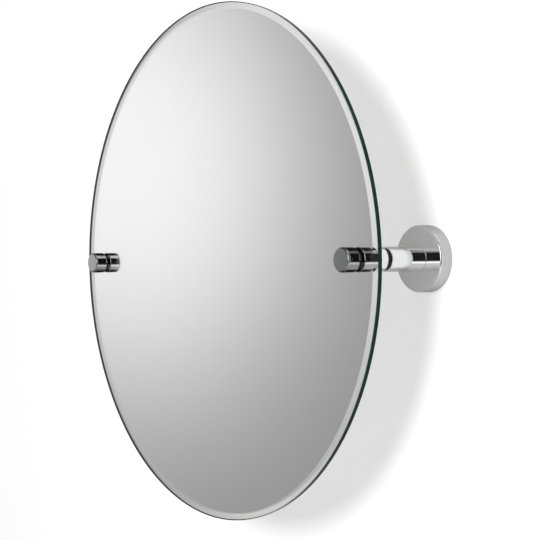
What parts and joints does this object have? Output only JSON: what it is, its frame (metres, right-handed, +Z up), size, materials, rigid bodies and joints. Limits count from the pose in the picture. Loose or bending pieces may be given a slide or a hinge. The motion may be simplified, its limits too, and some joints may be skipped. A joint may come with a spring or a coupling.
{
  "type": "pivot wall mirror",
  "caption": "Round frameless bevelled mirror held by chromed caps through the glass and tilting on friction ball joints at the ends of wall posts with round rosettes.",
  "frame": {"origin": "on the wall plane, midway between the two wall plates, at the height of the posts and of the mirror's centre", "axes": "+X to the right as seen by someone who faces the mirror, +Y into the wall, +Z up; the object lies at y below 0"},
  "size_m": [0.5079, 0.1019, 0.508],
  "materials": {
    "mirror_glass": "polished, bevelled and silvered behind",
    "backing_paint": "pale grey lacquer over silver and copper",
    "chrome": "polished chrome plate on brass",
    "clear_plastic": "clear, soft",
    "white_plastic": "natural nylon",
    "black_plastic": "black acetal, satin",
    "steel": "bright zinc plate",
    "zinc_steel": "zinc plate, satin"
  },
  "bodies": {
    "brackets": {"left_ball_socket": "black_plastic", "left_ball_pad": "white_plastic", "left_disc_springs": "steel", "left_tension_plug": "steel", "left_post": "chrome", "left_rosette": "chrome", "left_post_screw": "steel", "left_wall_plate": "zinc_steel", "left_grub_screw": "steel", "right_ball_socket": "black_plastic", "right_ball_pad": "white_plastic", "right_disc_springs": "steel", "right_tension_plug": "steel", "right_post": "chrome", "right_rosette": "chrome", "right_post_screw": "steel", "right_wall_plate": "zinc_steel", "right_grub_screw": "steel"},
    "mirror": {"mirror_glass": "mirror_glass", "mirror_backing": "backing_paint", "left_front_cap": "chrome", "left_front_washer": "clear_plastic", "left_glass_bush": "white_plastic", "left_rear_washer": "clear_plastic", "left_clamp_stud": "steel", "left_mirror_holder": "chrome", "left_ball_stud": "steel", "right_front_cap": "chrome", "right_front_washer": "clear_plastic", "right_glass_bush": "white_plastic", "right_rear_washer": "clear_plastic", "right_clamp_stud": "steel", "right_mirror_holder": "chrome", "right_ball_stud": "steel"}
  },
  "joints": [
    {"name": "tilt", "type": "hinge", "parent": "brackets", "child": "mirror", "pos_m": [0, -0.055, 0], "axis": [1, 0, 0], "range_deg": [-15, 15]}
  ]
}
